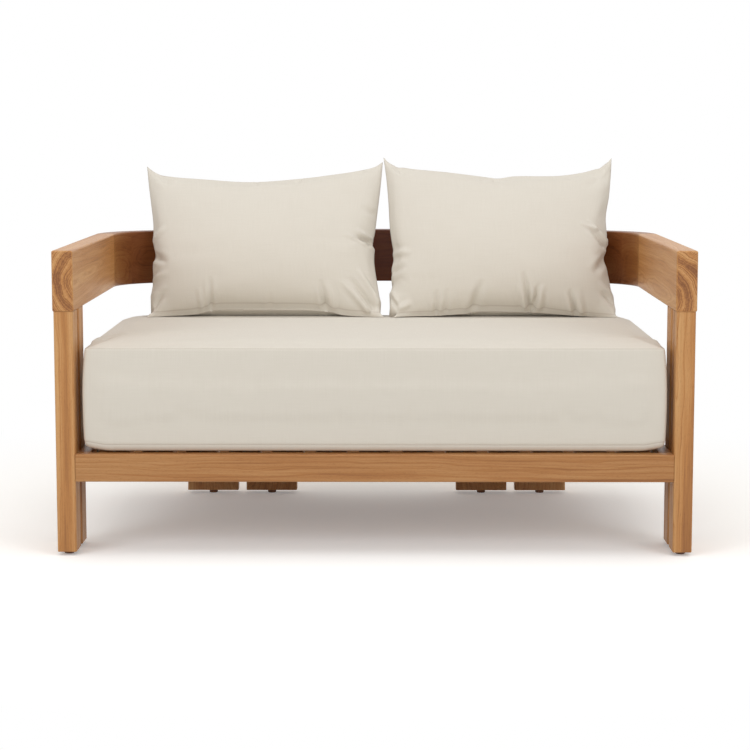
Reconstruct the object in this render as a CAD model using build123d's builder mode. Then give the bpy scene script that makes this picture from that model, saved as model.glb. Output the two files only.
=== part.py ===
from build123d import *
import os
from math import cos, radians, sin, sqrt

# Patio loveseat in solid teak, in millimetres.
# The arms, the back corners and the bowed back run on as one upright band of wood, carried by
# pairs of boards. A bench cushion lies on slats between the arms, and two pillows lean on the band.
# The origin is on the floor, at the middle of the width and the depth. The front faces -Y, +Z is up.

# Band: arms, corners and back
width = 1420
arm_top = 682
arm_run = 692
corner_radius = 198
corner_turn = 77
band_thick = 47
band_tall = 135
band_round = 4.5
arm_end_round = 4

# Loose tenons in the band's glue joints
tenon_thick = 10
tenon_tall = 34
tenon_long = 44
tenon_pitch = 66

# Front legs: two boards under each arm
leg_thick = 43
leg_deep = 68
leg_gap = 21
leg_round = 4.5
leg_inset = 2
foot_round = 1.5

# Rear legs: two pairs of wide boards that lean back to meet the bowed back
rear_wide = 132
rear_run = 38
rear_gap = 21
rear_pair_inset = 360
rear_foot_behind = 98

# Glides under the boards
glide_tall = 8.5
glide_radius = 11
glide_round = 1.5

# Seat frame
rail_thick = 32
rail_tall = 62
rail_round = 3
rail_top = 229
front_rail_inset = 1
rear_rail_behind = 140
stretcher_tall = 44
cleat_side = 22
cleat_end_gap = 22
block_side = 64

# Slats
slat_count = 13
slat_wide = 70
slat_thick = 18
slat_round = 3
slat_end_gap = 0.8

# Dowels
dowel_radius = 5
dowel_long = 60
leg_dowel_pitch = 34
rear_dowel_pitch = 70
rail_dowel_pitch = 30

# Bolts and threaded inserts between side rails and front legs
bolt_radius = 4
bolt_head_radius = 8
bolt_head_tall = 4.5
bolt_reach = 20
bolt_pitch = 30
insert_radius = 6.5
insert_long = 24

# Wood screws
screw_head_radius = 4.2
screw_radius = 2
rail_screw_long = 44
cleat_screw_long = 38
block_screw_long = 42
block_near_share = 0.3
slat_screw_long = 34
rail_screw_pitch = 60
cleat_screw_count = 4
screw_set_in = 16

# Bench cushion
bench_side_gap = 14
bench_front_inset = 17
bench_behind = 106
bench_seam_top = 464
bench_crown = 12
bench_draw = 7
bench_front_radius = 26
bench_rear_radius = 118
bench_foot_round = 14
bench_foot_inset = 18
bench_flat_inset = 160
bench_wrap = 12
crown_step_shares = (0, 0.2, 0.5, 1)

# Zip in the bench cushion's back
zip_long = 860
zip_tape_tall = 26
zip_tape_thick = 1.2
zip_coil_wide = 6
zip_coil_thick = 1.8
slider_long = 12
slider_tall = 10
slider_thick = 4
pull_long = 30
pull_wide = 7
pull_thick = 1.6

# Lumbar pillows
pillow_side_room = 53
pillow_tall = 407
pillow_thick = 142
pillow_edge = 9
pillow_top_dip = 44
pillow_foot_arch = 19
pillow_side_draw = 6
pillow_foot_inset = 90
pillow_lean = 22
pillow_left_shift = 34.5
pillow_right_shift = -8.5
pillow_wrap = 3
pillow_gap = 2
pillow_steps_count = 12
pillow_stations_share = (-1, -0.84, -0.5, 0, 0.5, 0.84, 1)
pillow_swell_share = 0.55

# Clearances
fit_gap = 0.1
soft_gap = 0.3
pillow_rest_gap = 0.6
hole_spare = 1
overrun = 10

# Worked out from the sizes above
half_width = width / 2
rear_pair_x = half_width - rear_pair_inset
rear_foot_y = arm_run + rear_foot_behind
rear_rail_back = arm_run + rear_rail_behind
bench_back = arm_run + bench_behind
half_turn = corner_turn / 2
turn = radians(corner_turn)
corner_x = half_width - corner_radius
bow_radius = (corner_x + corner_radius * cos(turn)) / cos(turn)
depth = arm_run + bow_radius + (corner_radius - bow_radius) * sin(turn)
front_y = -depth / 2
corner_y = front_y + arm_run
bow_y = depth / 2 - bow_radius
band_bottom = arm_top - band_tall
band_middle = arm_top - band_tall / 2
band_line_x = half_width - band_thick / 2
corner_line = corner_radius - band_thick / 2
bow_line = bow_radius - band_thick / 2

leg_x = half_width - leg_inset - leg_thick / 2
leg_inner_x = leg_x - leg_thick / 2
leg_tall = band_bottom - glide_tall
fore_leg_y = front_y + leg_inset + leg_deep / 2
aft_leg_y = fore_leg_y + leg_deep + leg_gap

rail_bottom = rail_top - rail_tall
rail_middle = rail_top - rail_tall / 2
front_rail_y = front_y + leg_inset + front_rail_inset + rail_thick / 2
front_rail_back_y = front_rail_y + rail_thick / 2
rear_rail_y = front_y + rear_rail_back - rail_thick / 2
rear_rail_front_y = rear_rail_y - rail_thick / 2
side_rail_x = leg_inner_x - rail_thick / 2
side_rail_inner_x = side_rail_x - rail_thick / 2
side_rail_long = front_y + rear_rail_back - front_rail_back_y
slat_bottom = rail_top - slat_thick
slat_pitch = 2 * side_rail_inner_x / slat_count
slat_long = rear_rail_front_y - front_rail_back_y - 2 * slat_end_gap
slat_y = (rear_rail_front_y + front_rail_back_y) / 2
cleat_long = 2 * (side_rail_inner_x - cleat_end_gap)
cleat_middle = slat_bottom - cleat_side / 2
front_cleat_y = front_rail_back_y + cleat_side / 2
rear_cleat_y = rear_rail_front_y - cleat_side / 2

hands = ((-1, "left"), (1, "right"))
parts_made = []


def keep(solid, name):
    """Label a finished piece and write its file."""
    solid.label = name
    export_step(solid, f"parts/{name}.step")
    parts_made.append(name)


def band_line_y(x):
    """Middle of the bowed back's thickness, at a distance across the width."""
    return bow_y + sqrt(bow_line**2 - x**2)


def band_inner_y(x):
    """Inner face of the bowed back or of a corner, at a distance across the width."""
    if abs(x) > (bow_radius - band_thick) * cos(turn):
        return corner_y + sqrt((corner_radius - band_thick) ** 2 - (abs(x) - corner_x) ** 2)
    return bow_y + sqrt((bow_radius - band_thick) ** 2 - x**2)


def bend_plane(centre_x, centre_y, angle):
    """Upright plane through a bend's centre: its x runs outwards, its y runs up."""
    reach = radians(angle)
    outwards = (cos(reach), sin(reach), 0)
    return Plane(origin=(centre_x, centre_y, 0), x_dir=outwards, z_dir=(sin(reach), -cos(reach), 0))


def joint_at(centre_x, angle):
    """Place and direction of a glue joint on a corner, as x, y and angle."""
    x = centre_x + corner_line * cos(radians(angle))
    y = corner_y + corner_line * sin(radians(angle))
    return x, y, angle


def tenon_places(joints):
    """Two loose tenons, one over the other, at each glue joint."""
    steps = (-tenon_pitch / 2, tenon_pitch / 2)
    return [
        Location((x, y, band_middle + step), (0, 0, angle)) for x, y, angle in joints for step in steps
    ]


def spread(pitch):
    """Two steps, half a pitch to each side of the middle."""
    return -pitch / 2, pitch / 2


# Glue joints of the band, from the front of the left arm round to the right
left_joints = [joint_at(-corner_x, 180), joint_at(-corner_x, 180 - half_turn)]
left_joints += [joint_at(-corner_x, 180 - corner_turn)]
right_joints = [joint_at(corner_x, 0), joint_at(corner_x, half_turn), joint_at(corner_x, corner_turn)]

# Rear leg boards: middle of each board across the width
rear_half_pitch = (rear_wide + rear_gap) / 2
rear_legs = (
    ("left_outer", -rear_pair_x - rear_half_pitch),
    ("left_inner", -rear_pair_x + rear_half_pitch),
    ("right_inner", rear_pair_x - rear_half_pitch),
    ("right_outer", rear_pair_x + rear_half_pitch),
)

# Dowels that stand in the leg boards' tops and reach up into the band
front_dowel_spots = []
for side, hand in hands:
    for board_y in (fore_leg_y, aft_leg_y):
        for step in spread(leg_dowel_pitch):
            front_dowel_spots.append((side * leg_x, board_y + step, band_bottom))
rear_dowel_spots = []
for rank, board_x in rear_legs:
    for step in spread(rear_dowel_pitch):
        rear_dowel_spots.append((board_x + step, band_line_y(board_x), band_bottom))

# Level dowels in the ends of the front rail, the rear rail and the stretcher
front_rail_dowel_spots = []
inner_rail_dowel_spots = []
for side, hand in hands:
    for step in spread(rail_dowel_pitch):
        front_rail_dowel_spots.append((side * leg_inner_x, front_rail_y, rail_middle + step))
        inner_rail_dowel_spots.append((side * side_rail_inner_x, rear_rail_y, rail_middle + step))
stretcher_middle = slat_bottom - stretcher_tall / 2
stretcher_dowel_spots = [(side * side_rail_inner_x, slat_y, stretcher_middle) for side, hand in hands]
half_dowel_spots = inner_rail_dowel_spots + stretcher_dowel_spots

# Bolts from inside the side rails into the front legs
bolt_spots = {}
insert_spots = {}
for side, hand in hands:
    bolt_spots[hand] = []
    insert_spots[hand] = []
    for board_y in (fore_leg_y + rail_thick / 2, aft_leg_y):
        for step in spread(bolt_pitch):
            bolt_spots[hand].append((side * side_rail_inner_x, board_y, rail_middle + step))
            insert_spots[hand].append((side * leg_inner_x, board_y, rail_middle + step))


def countersunk(long, grow):
    """A wood screw that points down, with the top of its head at the origin."""
    head = screw_head_radius + grow
    shank = screw_radius + grow
    with BuildPart() as form:
        with BuildSketch(Plane.XZ):
            with BuildLine():
                Polyline((0, 0), (head, 0), (shank, shank - head), (shank, -long), (0, -long), close=True)
            make_face()
        revolve(axis=Axis.Z)
    return form.part


rail_screw = countersunk(rail_screw_long, 0)
rail_screw_hole = countersunk(rail_screw_long + hole_spare, fit_gap)
cleat_screw = countersunk(cleat_screw_long, 0)
cleat_screw_hole = countersunk(cleat_screw_long + hole_spare, fit_gap)
block_screw = countersunk(block_screw_long, 0)
block_screw_hole = countersunk(block_screw_long + hole_spare, fit_gap)
slat_screw = countersunk(slat_screw_long, 0)
slat_screw_hole = countersunk(slat_screw_long + hole_spare, fit_gap)

# Turns that point a downward screw or bolt another way
to_back = (90, 0, 0)
to_front = (-90, 0, 0)
to_side = {"left": (0, 90, 0), "right": (0, -90, 0)}

# Screw places
rail_screw_z = rail_bottom + screw_set_in
rail_screw_places = []
for rank, board_x in rear_legs:
    for step in spread(rail_screw_pitch):
        rail_screw_places.append(Location((board_x + step, rear_rail_front_y, rail_screw_z), to_back))
cleat_screw_pitch = cleat_long / cleat_screw_count
cleat_steps = [(n - (cleat_screw_count - 1) / 2) * cleat_screw_pitch for n in range(cleat_screw_count)]
front_cleat_face_y = front_rail_back_y + cleat_side
rear_cleat_face_y = rear_rail_front_y - cleat_side
front_cleat_places = [Location((x, front_cleat_face_y, cleat_middle), to_front) for x in cleat_steps]
rear_cleat_places = [Location((x, rear_cleat_face_y, cleat_middle), to_back) for x in cleat_steps]
slat_xs = [(n - (slat_count - 1) / 2) * slat_pitch for n in range(slat_count)]
slat_screw_places = [Location((x, y, rail_top)) for x in slat_xs for y in (front_cleat_y, rear_cleat_y)]
block_z = rail_bottom + cleat_side / 2
block_screw_places = {}
block_near = block_side * block_near_share
block_far = block_side - block_near
for side, hand in hands:
    into_rear_rail = (side * (side_rail_inner_x - block_far), rear_rail_front_y - block_near, block_z)
    into_side_rail = (side * (side_rail_inner_x - block_near), rear_rail_front_y - block_far, block_z)
    block_screw_places[hand] = [Location(into_rear_rail, to_back), Location(into_side_rail, to_side[hand])]

os.makedirs("parts", exist_ok=True)

# Arms: straight boards on edge, rounded all along and at their front ends
for side, hand in hands:
    joints = left_joints if hand == "left" else right_joints
    with BuildPart() as arm:
        with BuildSketch(Plane.XZ.offset(-front_y)):
            with Locations((side * band_line_x, band_middle)):
                RectangleRounded(band_thick, band_tall, band_round)
        extrude(amount=-arm_run)
        fillet(arm.faces().sort_by(Axis.Y)[0].edges(), arm_end_round)
        with Locations(*tenon_places(joints[:1])):
            Box(tenon_thick + fit_gap, tenon_long + hole_spare, tenon_tall + fit_gap, mode=Mode.SUBTRACT)
        with Locations(*[spot for spot in front_dowel_spots if spot[0] * side > 0]):
            Cylinder(dowel_radius + fit_gap, dowel_long + hole_spare, mode=Mode.SUBTRACT)
    keep(arm.part, f"arm_{hand}")

# Corners: two blocks to a corner, each turned about the corner's upright axis
for side, hand in hands:
    joints = left_joints if hand == "left" else right_joints
    for rank in (0, 1):
        start = rank * half_turn if hand == "right" else 180 - (rank + 1) * half_turn
        with BuildPart() as corner:
            with BuildSketch(bend_plane(side * corner_x, corner_y, start)):
                with Locations((corner_line, band_middle)):
                    RectangleRounded(band_thick, band_tall, band_round)
            revolve(axis=Axis((side * corner_x, corner_y, 0), (0, 0, 1)), revolution_arc=half_turn)
            with Locations(*tenon_places(joints[rank : rank + 2])):
                Box(tenon_thick + fit_gap, tenon_long + hole_spare, tenon_tall + fit_gap, mode=Mode.SUBTRACT)
        keep(corner.part, f"corner_{hand}_{('front', 'rear')[rank]}")

# Back rail: gently bowed between the two corners
with BuildPart() as back_rail:
    with BuildSketch(bend_plane(0, bow_y, corner_turn)):
        with Locations((bow_line, band_middle)):
            RectangleRounded(band_thick, band_tall, band_round)
    revolve(axis=Axis((0, bow_y, 0), (0, 0, 1)), revolution_arc=180 - 2 * corner_turn)
    with Locations(*tenon_places([left_joints[2], right_joints[2]])):
        Box(tenon_thick + fit_gap, tenon_long + hole_spare, tenon_tall + fit_gap, mode=Mode.SUBTRACT)
    with Locations(*rear_dowel_spots):
        Cylinder(dowel_radius + fit_gap, dowel_long + hole_spare, mode=Mode.SUBTRACT)
keep(back_rail.part, "back_rail")

with BuildPart() as band_tenons:
    with Locations(*tenon_places(left_joints + right_joints)):
        Box(tenon_thick, tenon_long, tenon_tall)
keep(band_tenons.part, "band_tenons")

# Front legs: upright boards, with inserts for the side rail bolts in their inner faces
for side, hand in hands:
    for rank, board_y in (("fore", fore_leg_y), ("aft", aft_leg_y)):
        with BuildPart() as front_leg:
            with BuildSketch(Plane.XY.offset(glide_tall)):
                with Locations((side * leg_x, board_y)):
                    RectangleRounded(leg_thick, leg_deep, leg_round)
            extrude(amount=leg_tall)
            fillet(front_leg.faces().sort_by(Axis.Z)[0].edges(), foot_round)
            with Locations(*front_dowel_spots):
                Cylinder(dowel_radius + fit_gap, dowel_long + hole_spare, mode=Mode.SUBTRACT)
            with Locations(*[Location(spot, to_side[hand]) for spot in insert_spots[hand]]):
                Cylinder(
                    insert_radius + fit_gap,
                    insert_long + hole_spare,
                    align=(Align.CENTER, Align.CENTER, Align.MAX),
                    mode=Mode.SUBTRACT,
                )
            if rank == "fore":
                with Locations(*[Location(spot, to_side[hand]) for spot in front_rail_dowel_spots]):
                    Cylinder(dowel_radius + fit_gap, dowel_long + hole_spare, mode=Mode.SUBTRACT)
        keep(front_leg.part, f"front_leg_{hand}_{rank}")

# Rear legs: boards that lean back under the band, housed over the rear rail
for rank, board_x in rear_legs:
    foot_y = front_y + rear_foot_y
    head_y = band_line_y(board_x) - rear_run / 2
    with BuildPart() as rear_leg:
        with BuildSketch(Plane.YZ.offset(board_x - rear_wide / 2)):
            with BuildLine():
                Polyline(
                    (foot_y, glide_tall),
                    (foot_y + rear_run, glide_tall),
                    (head_y + rear_run, band_bottom),
                    (head_y, band_bottom),
                    close=True,
                )
            make_face()
        extrude(amount=rear_wide)
        fillet(rear_leg.edges().group_by(SortBy.LENGTH)[-1], leg_round)
        with Locations((board_x, rear_rail_y, rail_middle)):
            Box(rear_wide + overrun, rail_thick, rail_tall, mode=Mode.SUBTRACT)
        with Locations(*rear_dowel_spots):
            Cylinder(dowel_radius + fit_gap, dowel_long + hole_spare, mode=Mode.SUBTRACT)
        with Locations(*rail_screw_places):
            add(rail_screw_hole, mode=Mode.SUBTRACT)
    keep(rear_leg.part, f"rear_leg_{rank}")

with BuildPart() as leg_dowels:
    with Locations(*front_dowel_spots, *rear_dowel_spots):
        Cylinder(dowel_radius, dowel_long)
keep(leg_dowels.part, "leg_dowels")

# Glides: a round pad with an eased lower edge under every board
glide_spots = [(side * leg_x, y, 0) for side, hand in hands for y in (fore_leg_y, aft_leg_y)]
glide_spots += [(board_x, front_y + rear_foot_y + rear_run / 2, 0) for rank, board_x in rear_legs]
with BuildPart() as leg_glides:
    with Locations(*glide_spots):
        Cylinder(glide_radius, glide_tall, align=(Align.CENTER, Align.CENTER, Align.MIN))
    fillet(leg_glides.edges().group_by(Axis.Z)[0], glide_round)
keep(leg_glides.part, "leg_glides")

# Front seat rail, between the foremost leg boards
with BuildPart() as seat_rail_front:
    with BuildSketch(Plane.YZ.offset(-leg_inner_x)):
        with Locations((front_rail_y, rail_middle)):
            RectangleRounded(rail_thick, rail_tall, rail_round)
    extrude(amount=2 * leg_inner_x)
    with Locations(*[Location(spot, to_side["left"]) for spot in front_rail_dowel_spots]):
        Cylinder(dowel_radius + fit_gap, dowel_long + hole_spare, mode=Mode.SUBTRACT)
    with Locations(*front_cleat_places):
        add(cleat_screw_hole, mode=Mode.SUBTRACT)
keep(seat_rail_front.part, "seat_rail_front")

# Side seat rails, bolted to the inner faces of the front legs
for side, hand in hands:
    with BuildPart() as side_rail:
        with BuildSketch(Plane.XZ.offset(-front_rail_back_y)):
            with Locations((side * side_rail_x, rail_middle)):
                RectangleRounded(rail_thick, rail_tall, rail_round)
        extrude(amount=-side_rail_long)
        with Locations(*[Location(spot, to_side[hand]) for spot in bolt_spots[hand]]):
            Cylinder(
                bolt_radius + fit_gap,
                rail_thick,
                align=(Align.CENTER, Align.CENTER, Align.MAX),
                mode=Mode.SUBTRACT,
            )
        with Locations(*[Location(spot, to_side[hand]) for spot in half_dowel_spots]):
            Cylinder(dowel_radius + fit_gap, dowel_long / 2 + hole_spare, mode=Mode.SUBTRACT)
        with Locations(block_screw_places[hand][1]):
            add(block_screw_hole, mode=Mode.SUBTRACT)
    keep(side_rail.part, f"seat_rail_{hand}")

# Rear seat rail, between the side rails and housed in the rear legs
with BuildPart() as seat_rail_rear:
    with BuildSketch(Plane.YZ.offset(-side_rail_inner_x)):
        with Locations((rear_rail_y, rail_middle)):
            Rectangle(rail_thick, rail_tall)
    extrude(amount=2 * side_rail_inner_x)
    with Locations(*[Location(spot, to_side["left"]) for spot in inner_rail_dowel_spots]):
        Cylinder(dowel_radius + fit_gap, dowel_long / 2 + hole_spare, mode=Mode.SUBTRACT)
    with Locations(*rail_screw_places):
        add(rail_screw_hole, mode=Mode.SUBTRACT)
    with Locations(*rear_cleat_places):
        add(cleat_screw_hole, mode=Mode.SUBTRACT)
    with Locations(block_screw_places["left"][0], block_screw_places["right"][0]):
        add(block_screw_hole, mode=Mode.SUBTRACT)
keep(seat_rail_rear.part, "seat_rail_rear")

# Stretcher under the middle of the slats
with BuildPart() as seat_stretcher:
    with BuildSketch(Plane.YZ.offset(-side_rail_inner_x)):
        with Locations((slat_y, stretcher_middle)):
            Rectangle(rail_thick, stretcher_tall)
    extrude(amount=2 * side_rail_inner_x)
    fillet(seat_stretcher.edges().filter_by(Axis.X).group_by(Axis.Z)[0], rail_round)
    with Locations(*[Location(spot, to_side["left"]) for spot in stretcher_dowel_spots]):
        Cylinder(dowel_radius + fit_gap, dowel_long / 2 + hole_spare, mode=Mode.SUBTRACT)
keep(seat_stretcher.part, "seat_stretcher")

with BuildPart() as rail_dowels:
    with Locations(*[Location(spot, to_side["left"]) for spot in front_rail_dowel_spots]):
        Cylinder(dowel_radius, dowel_long)
    with Locations(*[Location(spot, to_side["left"]) for spot in half_dowel_spots]):
        Cylinder(dowel_radius, dowel_long / 2)
keep(rail_dowels.part, "rail_dowels")

# Bolts with a low round head, and the threaded inserts they turn into
with BuildPart() as side_rail_bolts:
    for side, hand in hands:
        with Locations(*[Location(spot, to_side[hand]) for spot in bolt_spots[hand]]):
            Cylinder(bolt_head_radius, bolt_head_tall, align=(Align.CENTER, Align.CENTER, Align.MIN))
            Cylinder(bolt_radius, rail_thick + bolt_reach, align=(Align.CENTER, Align.CENTER, Align.MAX))
keep(side_rail_bolts.part, "side_rail_bolts")

with BuildPart() as side_rail_inserts:
    for side, hand in hands:
        with Locations(*[Location(spot, to_side[hand]) for spot in insert_spots[hand]]):
            Cylinder(insert_radius, insert_long, align=(Align.CENTER, Align.CENTER, Align.MAX))
            Cylinder(
                bolt_radius + fit_gap,
                bolt_reach + hole_spare,
                align=(Align.CENTER, Align.CENTER, Align.MAX),
                mode=Mode.SUBTRACT,
            )
keep(side_rail_inserts.part, "side_rail_inserts")

# Cleats that carry the ends of the slats
cleats = (("front", front_cleat_y, front_cleat_places), ("rear", rear_cleat_y, rear_cleat_places))
for rank, cleat_y, places in cleats:
    with BuildPart() as slat_cleat:
        with Locations((0, cleat_y, cleat_middle)):
            Box(cleat_long, cleat_side, cleat_side)
        with Locations(*places):
            add(cleat_screw_hole, mode=Mode.SUBTRACT)
        with Locations(*slat_screw_places):
            add(slat_screw_hole, mode=Mode.SUBTRACT)
    keep(slat_cleat.part, f"slat_cleat_{rank}")

# Rear corner blocks: triangles glued and screwed inside the seat frame
for side, hand in hands:
    near_x = side * side_rail_inner_x
    far_x = side * (side_rail_inner_x - block_side)
    with BuildPart() as seat_block:
        with BuildSketch(Plane.XY.offset(rail_bottom)):
            with BuildLine():
                Polyline(
                    (near_x, rear_rail_front_y),
                    (far_x, rear_rail_front_y),
                    (near_x, rear_rail_front_y - block_side),
                    close=True,
                )
            make_face()
        extrude(amount=cleat_side)
        with Locations(*block_screw_places[hand]):
            add(block_screw_hole, mode=Mode.SUBTRACT)
    keep(seat_block.part, f"seat_block_{hand}")

# Slats, with eased edges and a countersunk screw at each end
for n, slat_x in enumerate(slat_xs):
    with BuildPart() as slat:
        with BuildSketch(Plane.XZ.offset(-(slat_y - slat_long / 2))):
            with Locations((slat_x, slat_bottom + slat_thick / 2)):
                RectangleRounded(slat_wide, slat_thick, slat_round)
        extrude(amount=-slat_long)
        with Locations(*slat_screw_places[2 * n : 2 * n + 2]):
            add(slat_screw_hole, mode=Mode.SUBTRACT)
    keep(slat.part, f"slat_{n + 1:02d}")

# Screws, one node for each kind
with BuildPart() as rear_rail_screws:
    with Locations(*rail_screw_places):
        add(rail_screw)
keep(rear_rail_screws.part, "rear_rail_screws")

with BuildPart() as cleat_screws:
    with Locations(*front_cleat_places, *rear_cleat_places):
        add(cleat_screw)
keep(cleat_screws.part, "cleat_screws")

with BuildPart() as block_screws:
    with Locations(*block_screw_places["left"], *block_screw_places["right"]):
        add(block_screw)
keep(block_screws.part, "block_screws")

with BuildPart() as slat_screws:
    with Locations(*slat_screw_places):
        add(slat_screw)
keep(slat_screws.part, "slat_screws")

# Bench cushion, worked out from the frame around it
bench_wide = 2 * (leg_inner_x - bench_side_gap)
bench_deep = bench_back - bench_front_inset
bench_y = front_y + (bench_back + bench_front_inset) / 2
bench_foot = rail_top + soft_gap
crown_reach = bench_flat_inset - bench_draw


def bench_outline(height, inset, trim):
    """The cushion's plan at a height: small radii in front, large ones beside the back corners."""
    shrink = 2 * (inset + trim)
    with BuildSketch(Plane.XY.offset(height)) as outline:
        with Locations((0, bench_y)):
            Rectangle(bench_wide - shrink, bench_deep - shrink)
        fillet(outline.vertices().group_by(Axis.Y)[0], bench_front_radius)
        fillet(outline.vertices().group_by(Axis.Y)[-1], bench_rear_radius)
    return outline.sketch


def crown_rise(share):
    """How far the crown has risen over the seam, at a share of the way in to its flat middle."""
    return bench_crown * (1 - (1 - share) ** 3)


def bench_form(trim):
    """Barrel sides between the two seams, with a crowned top, drawn in by a trim all round."""
    foot = bench_foot + trim
    seam = bench_seam_top - trim
    with BuildPart() as form:
        loft(
            [
                bench_outline(foot, bench_foot_inset, trim),
                bench_outline(foot + bench_foot_round, bench_draw, trim),
            ]
        )
        loft(
            [
                bench_outline(foot + bench_foot_round, bench_draw, trim),
                bench_outline((foot + bench_foot_round + seam) / 2, 0, trim),
                bench_outline(seam, bench_draw, trim),
            ]
        )
        loft(
            [
                bench_outline(seam + crown_rise(share), bench_draw + share * crown_reach, trim)
                for share in crown_step_shares
            ]
        )
    return form.part


with BuildPart() as seat_cushion_cover:
    add(bench_form(0))
    add(bench_form(bench_wrap), mode=Mode.SUBTRACT)
keep(seat_cushion_cover.part, "seat_cushion_cover")

with BuildPart() as seat_cushion_core:
    add(bench_form(bench_wrap + soft_gap))
keep(seat_cushion_core.part, "seat_cushion_core")

# Zip across the middle of the cushion's back, with its slider at the left end
bench_back_y = front_y + bench_back
zip_z = (bench_foot + bench_foot_round + bench_seam_top) / 2
tape_y = bench_back_y + soft_gap + zip_tape_thick / 2
coil_y = tape_y + (zip_tape_thick + zip_coil_thick) / 2
with BuildPart() as seat_zip:
    with Locations((0, tape_y, zip_z)):
        Box(zip_long, zip_tape_thick, zip_tape_tall)
    with Locations((0, coil_y, zip_z)):
        Box(zip_long, zip_coil_thick, zip_coil_wide)
keep(seat_zip.part, "seat_zip")

slider_x = -(zip_long - slider_long) / 2
slider_y = coil_y + zip_coil_thick / 2 + soft_gap + slider_thick / 2
pull_y = slider_y + (slider_thick + pull_thick) / 2
with BuildPart() as seat_zip_slider:
    with Locations((slider_x, slider_y, zip_z)):
        Box(slider_long, slider_thick, slider_tall)
    fillet(seat_zip_slider.edges().filter_by(Axis.Y), pull_thick)
    with Locations((slider_x, pull_y, zip_z)):
        Box(pull_wide, pull_thick, pull_long, align=(Align.CENTER, Align.CENTER, Align.MAX))
keep(seat_zip_slider.part, "seat_zip_slider")

# Pillows: each stands on the bench cushion and leans back until it meets the band's top edge
pillow_wide = bench_wide / 2 - pillow_side_room
pillow_left_x = -bench_wide / 4 + pillow_left_shift
pillow_right_x = bench_wide / 4 + pillow_right_shift
lean = radians(pillow_lean)
pillow_foot_share = (pillow_foot_inset - bench_draw) / crown_reach
pillow_foot_z = bench_seam_top + crown_rise(pillow_foot_share) + pillow_rest_gap


def pillow_slice(share, trim):
    """Lower and upper seam and half the thickness of a slice, at a share of the way out to a side."""
    inner = 1 - share**2
    low = pillow_foot_arch * inner + trim
    high = pillow_tall - pillow_top_dip * inner - trim
    half = pillow_edge / 2 - trim + (pillow_thick - pillow_edge) / 2 * inner**pillow_swell_share
    return low, high, half


def pillow_foot_y(middle_x):
    """Where a pillow's foot stands, so that no slice of its back meets the inner top edge of the band."""
    feet = []
    for step in range(-pillow_steps_count, pillow_steps_count + 1):
        share = step / pillow_steps_count
        low, high, half = pillow_slice(share, 0)
        radius = ((high - low) ** 2 / 4 + half**2) / (2 * half)
        back = radius - half
        middle = (low + high) / 2
        drop = arm_top - pillow_foot_z - middle * cos(lean) - back * sin(lean)
        reach = middle * sin(lean) - back * cos(lean) + sqrt((radius + pillow_gap) ** 2 - drop**2)
        feet.append(band_inner_y(middle_x + share * pillow_wide / 2) - reach)
    return min(feet)


def pillow_section(middle_x, foot_y, share, trim):
    """One upright slice: two arcs that meet at the top and bottom seams."""
    low, high, half = pillow_slice(share, trim)
    reach = pillow_wide / 2 - trim
    place = Plane(
        origin=(middle_x + share * reach, foot_y, pillow_foot_z),
        x_dir=(0, cos(lean), -sin(lean)),
        z_dir=(1, 0, 0),
    )
    with BuildSketch(place) as section:
        with BuildLine():
            ThreePointArc((0, low), (half, (low + high) / 2), (0, high))
            ThreePointArc((0, high), (-half, (low + high) / 2), (0, low))
        make_face()
    return section.sketch


def pillow_form(middle_x, trim):
    """The whole pillow, drawn in by a trim all round."""
    foot_y = pillow_foot_y(middle_x)
    face = Plane(
        origin=(middle_x, foot_y, pillow_foot_z),
        x_dir=(1, 0, 0),
        z_dir=(0, -cos(lean), sin(lean)),
    )
    with BuildPart() as form:
        loft([pillow_section(middle_x, foot_y, share, trim) for share in pillow_stations_share])
        for side, hand in hands:
            edge_x = side * (pillow_wide / 2 - trim)
            waist_x = edge_x - side * pillow_side_draw
            with BuildSketch(face):
                with BuildLine():
                    ThreePointArc((edge_x, 0), (waist_x, pillow_tall / 2), (edge_x, pillow_tall))
                    Line((edge_x, pillow_tall), (edge_x, 0))
                make_face()
            extrude(amount=pillow_thick, both=True, mode=Mode.SUBTRACT)
    return form.part


for middle_x, hand in ((pillow_left_x, "left"), (pillow_right_x, "right")):
    with BuildPart() as pillow_cover:
        add(pillow_form(middle_x, 0))
        add(pillow_form(middle_x, pillow_wrap), mode=Mode.SUBTRACT)
    keep(pillow_cover.part, f"pillow_{hand}_cover")
    with BuildPart() as pillow_fill:
        add(pillow_form(middle_x, pillow_wrap + soft_gap))
    keep(pillow_fill.part, f"pillow_{hand}_fill")

print(len(parts_made), "nodes, depth", round(depth, 1), "bow radius", round(bow_radius))
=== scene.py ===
"""Patio loveseat in solid teak, with a bench cushion and two lumbar pillows: finishes, cushions and stage."""

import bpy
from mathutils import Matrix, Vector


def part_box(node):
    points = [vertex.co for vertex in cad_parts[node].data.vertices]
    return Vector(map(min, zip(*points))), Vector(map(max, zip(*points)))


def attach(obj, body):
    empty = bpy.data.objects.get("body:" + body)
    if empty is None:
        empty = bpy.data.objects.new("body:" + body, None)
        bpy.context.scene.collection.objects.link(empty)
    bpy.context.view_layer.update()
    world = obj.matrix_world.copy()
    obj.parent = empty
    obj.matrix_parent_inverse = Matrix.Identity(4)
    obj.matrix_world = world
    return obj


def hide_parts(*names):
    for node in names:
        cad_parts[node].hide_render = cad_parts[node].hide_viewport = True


bl_info = {
    "name": "Patio loveseat",
    "version": (1, 0, 0),
    "blender": (4, 5, 0),
    "location": "3D View > Sidebar > Loveseat",
    "description": "Finishes the teak frame of a patio loveseat and makes its cushions and stage",
    "category": "Object",
}

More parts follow.
